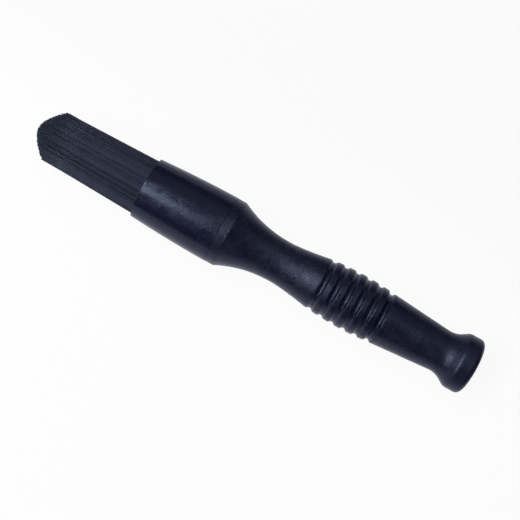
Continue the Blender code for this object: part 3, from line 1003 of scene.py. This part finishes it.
def bent_places(tree, size, station, radius, angle, number):
    """The place of each joint in a bundle that has been used."""
    free = calc(tree, "-", station, size["Mouth Station"])
    free_length = calc(tree, "-", size["Tip Station"], size["Mouth Station"])
    free = calc(tree, "/", free, free_length, clamp=True)
    leaning = calc(tree, "*", size["Bundle Lean"], free)
    free = calc(tree, "*", free, free)
    reach = scattered(tree, size, 1, number, size["Tip Scatter"])
    chosen = calc(tree, "LESS_THAN", scattered(tree, size, 4, number), size["Stray Share"])
    reach = calc(tree, "MAXIMUM", reach, calc(tree, "*", chosen, size["Stray Reach"]))
    heading = scattered(tree, size, 2, number, 2.0 * math.pi)
    straight = parts_of(tree, radius, angle)
    sway = parts_of(tree, calc(tree, "*", reach, free), heading)
    across, upward = [calc(tree, "+", first, second) for first, second in zip(straight, sway)]
    across = calc(tree, "-", across, leaning)
    return put(tree, "ShaderNodeCombineXYZ", {0: station, 1: across, 2: upward}).outputs[0]


# %% [markdown]
# ### Shades
#
# Every filament keeps a shade for the material to read. Filaments that stand close together share
# part of it, which gives the faint streaks along the bundle.

# %% Helper: shades
CLUMP_RANGE = (0.32, 0.68)


def shade_of(tree, size, number, angle, tip_radius):
    """Each filament's own shade, partly shared with the clump that it stands in."""
    across, upward = parts_of(tree, tip_radius, angle)
    tip_spot = put(tree, "ShaderNodeCombineXYZ", {1: across, 2: upward}).outputs[0]
    clump = ramp(tree, noise(tree, tip_spot, size["Clump Size"], detail=1.0), *CLUMP_RANGE)
    together = calc(tree, "*", clump, size["Clump Shade"])
    own = scattered(tree, size, 3, number)
    alone = calc(tree, "*", own, calc(tree, "-", 1.0, size["Clump Shade"]))
    return calc(tree, "+", together, alone)


# %% [markdown]
# ### The whole tree
#
# The tree is run twice, for the inner and the outer half of the filaments, so that neither piece
# grows too heavy.

# %% Geometry Nodes: set the filaments
TUBE_SIDES = 6
END_NARROWING = 0.4


def bundle_tree():
    """A tree that sets a run of filaments of the bundle, as tubes about the X axis."""
    tree, size, result = geometry_tree("set_filaments", BUNDLE)
    local, number, joint, share = filament_numbers(tree, size)
    angle, root_radius, tip_radius = spiral(tree, size, number, share)
    station, radius, is_end = filament_run(tree, size, joint, number, root_radius, tip_radius)
    count = calc(tree, "*", size["Filament Count"], size["Joints"])
    points = put(tree, "GeometryNodePoints", {"Count": count})
    place = bent_places(tree, size, station, radius, angle, number)
    placed = put(tree, "GeometryNodeSetPosition", {"Geometry": points.outputs[0], "Position": place})
    shade = shade_of(tree, size, number, angle, tip_radius)
    sockets = {"Geometry": placed.outputs[0], "Name": "tone", "Value": shade}
    toned = put(tree, "GeometryNodeStoreNamedAttribute", sockets, data_type="FLOAT", domain="POINT")

    sockets = {"Points": toned.outputs[0], "Curve Group ID": local, "Weight": joint}
    curves = put(tree, "GeometryNodePointsToCurves", sockets)
    sockets = {"Resolution": TUBE_SIDES, "Radius": size["Filament Radius"]}
    section = put(tree, "GeometryNodeCurvePrimitiveCircle", sockets)
    eased = calc(tree, "-", 1.0, calc(tree, "*", is_end, END_NARROWING))
    sockets = {"Curve": curves.outputs[0], "Profile Curve": section.outputs[0], "Scale": eased}
    tubes = put(tree, "GeometryNodeCurveToMesh", {**sockets, "Fill Caps": True})
    smooth = put(tree, "GeometryNodeSetShadeSmooth", {"Geometry": tubes.outputs[0], "Shade Smooth": True})
    end_tree(tree, smooth.outputs[0], size["Material"], result)
    return tree


set_filaments = bundle_tree()
filament_pieces = []
for name, first in (("filaments_core", 0), ("filaments_skin", FILAMENT_COUNT // 2)):
    piece = add_object(name, bpy.data.meshes.new(name + "_seed"))
    run_tree(piece, set_filaments, {**BUNDLE, "First Filament": first, "Material": filament})
    lay_on_axis(piece)
    filament_pieces.append(piece)

# %% [markdown]
# ## Floor and background
#
# The brush lies on plain white paper. The paper is a diffuse surface, so it takes the brush's soft
# contact shadow. The camera sees most of it as plain white, and reflections see a small share of it
# so, which keeps the background clean without putting more light on the brush. The dark plastic
# mirrors the paper at its edges, so the paper's colour shows there: it is slightly blue, and on the
# side away from the lamps it is painted a darker grey, a painted shade that dims what the brush's
# edges mirror on that side.

# %% Floor and world
FLOOR_SIDE = 8.0
PURE_WHITE = (1.0, 1.0, 1.0, 1.0)
FLOOR_WHITE = (0.68, 0.67, 0.79, 1.0)
FLOOR_PAINTED_SHADE = (0.38, 0.38, 0.46, 1.0)
PAINTED_SHADE_FROM = -0.10
PAINTED_SHADE_TO = 0.0
WHITE_SHARE = 0.93
REFLECTED_SHARE = 0.10
WORLD_GREY = 0.06

floor_mesh = bpy.data.meshes.new("floor")
floor_shape = bmesh.new()
bmesh.ops.create_grid(floor_shape, x_segments=1, y_segments=1, size=FLOOR_SIDE / 2.0)
floor_shape.to_mesh(floor_mesh)
floor_shape.free()
floor = add_object("floor", floor_mesh)

floor_material = bpy.data.materials.new("pale_floor")
floor_material.use_nodes = True
tree = floor_material.node_tree
tree.nodes.clear()
place = put(tree, "ShaderNodeSeparateXYZ", {0: object_position(tree)})
# Painted shade: the paper's colour darkens to grey towards -Y, the side away from the lamps.
painted_shade_ramp = ramp(tree, place.outputs["Y"], PAINTED_SHADE_FROM, PAINTED_SHADE_TO)
paper = mixed_colour(tree, painted_shade_ramp, FLOOR_PAINTED_SHADE, FLOOR_WHITE)
diffuse = put(tree, "ShaderNodeBsdfDiffuse", {"Color": paper})
glow = put(tree, "ShaderNodeEmission", {"Color": PURE_WHITE, "Strength": 1.0})
rays = tree.nodes.new("ShaderNodeLightPath").outputs
mirrored = calc(tree, "MAXIMUM", rays["Is Glossy Ray"], rays["Is Transmission Ray"])
seen = calc(tree, "*", rays["Is Camera Ray"], WHITE_SHARE)
seen = calc(tree, "MAXIMUM", seen, calc(tree, "*", mirrored, REFLECTED_SHARE))
blend = put(tree, "ShaderNodeMixShader", {0: seen, 1: diffuse.outputs[0], 2: glow.outputs[0]})
put(tree, "ShaderNodeOutputMaterial", {"Surface": blend.outputs[0]})
floor_mesh.materials.append(floor_material)

world = bpy.data.worlds.new("studio")
world.use_nodes = True
bpy.context.scene.world = world
tree = world.node_tree
backdrop = tree.nodes["Background"]
rays = tree.nodes.new("ShaderNodeLightPath").outputs
feed(tree, backdrop.inputs["Strength"], calc(tree, "MAXIMUM", rays["Is Camera Ray"], WORLD_GREY))
feed(tree, backdrop.inputs["Color"], PURE_WHITE)

# %% [markdown]
# ## Light
#
# Four soft boxes hang over the brush and face straight down. A dark moulding shows a light by its
# reflection, so their places are worked out from where the highlights lie. A long narrow strip
# beyond the bristle end draws the line along the sleeve and the neck, and a wider, fainter box
# beside it softens that line. A very large and very faint one fills the upper side of the picture,
# and a small one over the pommel lights its band. Together they light the floor at about the level
# at which white paper renders white.

# %% Soft boxes
RIG_HEIGHT = 1.2
SOFT_BOXES = {
    "key_strip": {"station": 0.94, "side": 0.73, "size": (0.08, 2.12), "turn": -12.0, "radiance": 54.7},
    "key_core": {"station": 0.63, "side": 0.38, "size": (0.49, 0.54), "turn": 0.0, "radiance": 4.9},
    "wide_fill": {"station": 0.72, "side": -1.00, "size": (3.27, 2.47), "turn": 0.0, "radiance": 0.216},
    "rear_spot": {"station": 0.03, "side": -0.24, "size": (0.20, 0.20), "turn": 0.0, "radiance": 8.6},
}


def soft_box(name, station, side, size, turn, radiance):
    """A rectangular area light that faces straight down, as bright as its radiance says."""
    lamp = bpy.data.lights.new(name, "AREA")
    lamp.shape = "RECTANGLE"
    lamp.size, lamp.size_y = size
    lamp.energy = math.pi * size[0] * size[1] * radiance
    box = add_object(name, lamp)
    box.location = (POMMEL_X + station, side, RIG_HEIGHT)
    box.rotation_euler.z = math.radians(turn)


for name, values in SOFT_BOXES.items():
    soft_box(name, **values)
print("Soft boxes:", sorted(SOFT_BOXES))

# %% [markdown]
# ## Camera
#
# The photograph looks down on the brush from almost above. The camera's place comes from the
# picture. Lines that run round the brush, such as the grooves and the joint, look shifted along it
# where they cross its top, against their ends on the outline, and that shift grows away from the
# point the camera stands above. It gives both that point and the distance. The slope of the axis in
# the picture gives the camera's roll.

# %% Camera
PICTURE_PIXELS = 520
FOCAL_PIXELS = 1155
SENSOR = 0.036
CAMERA_ELEVATION = math.radians(80.0)
CAMERA_STATION = 0.125
CAMERA_DISTANCE = 0.65
CENTRE_STATION = 0.1333
CENTRE_BELOW = 0.00453
AXIS_SLOPE = math.radians(29.0)
CLIP_START = 0.01

towards_camera = Vector((0.0, math.cos(CAMERA_ELEVATION), math.sin(CAMERA_ELEVATION)))
upper_side = Vector((0.0, -math.sin(CAMERA_ELEVATION), math.cos(CAMERA_ELEVATION)))
eye = Vector((POMMEL_X + CAMERA_STATION, 0.0, AXIS_Z)) + towards_camera * CAMERA_DISTANCE
aim = Vector((POMMEL_X + CENTRE_STATION, 0.0, AXIS_Z)) - upper_side * CENTRE_BELOW
backward = (eye - aim).normalized()
tip_way = Vector((1.0, 0.0, 0.0))
tip_way = (tip_way - backward * tip_way.dot(backward)).normalized()
side_way = backward.cross(tip_way)
right = -math.cos(AXIS_SLOPE) * tip_way - math.sin(AXIS_SLOPE) * side_way
up = math.sin(AXIS_SLOPE) * tip_way - math.cos(AXIS_SLOPE) * side_way

camera_data = bpy.data.cameras.new("camera")
camera_data.sensor_width = 1000.0 * SENSOR
camera_data.lens = camera_data.sensor_width * FOCAL_PIXELS / PICTURE_PIXELS
camera_data.clip_start = CLIP_START
camera = add_object("camera", camera_data)
turn = Matrix((right, up, backward)).transposed().to_4x4()
camera.matrix_world = Matrix.Translation(eye) @ turn
bpy.context.scene.camera = camera
bpy.context.scene.view_settings.view_transform = "Standard"
print(f"Camera {eye.z:.2f} m above the floor with a {camera_data.lens:.0f} mm lens")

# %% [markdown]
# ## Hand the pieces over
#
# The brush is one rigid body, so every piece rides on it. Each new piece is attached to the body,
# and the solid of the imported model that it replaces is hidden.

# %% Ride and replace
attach(handle, "root")
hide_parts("handle")

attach(cap, "root")
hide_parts("end_plug")

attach(sleeve, "root")
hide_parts("ferrule_sleeve")

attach(root_slice, "root")

for piece in filament_pieces:
    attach(piece, "root")
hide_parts("bristle_bundle")
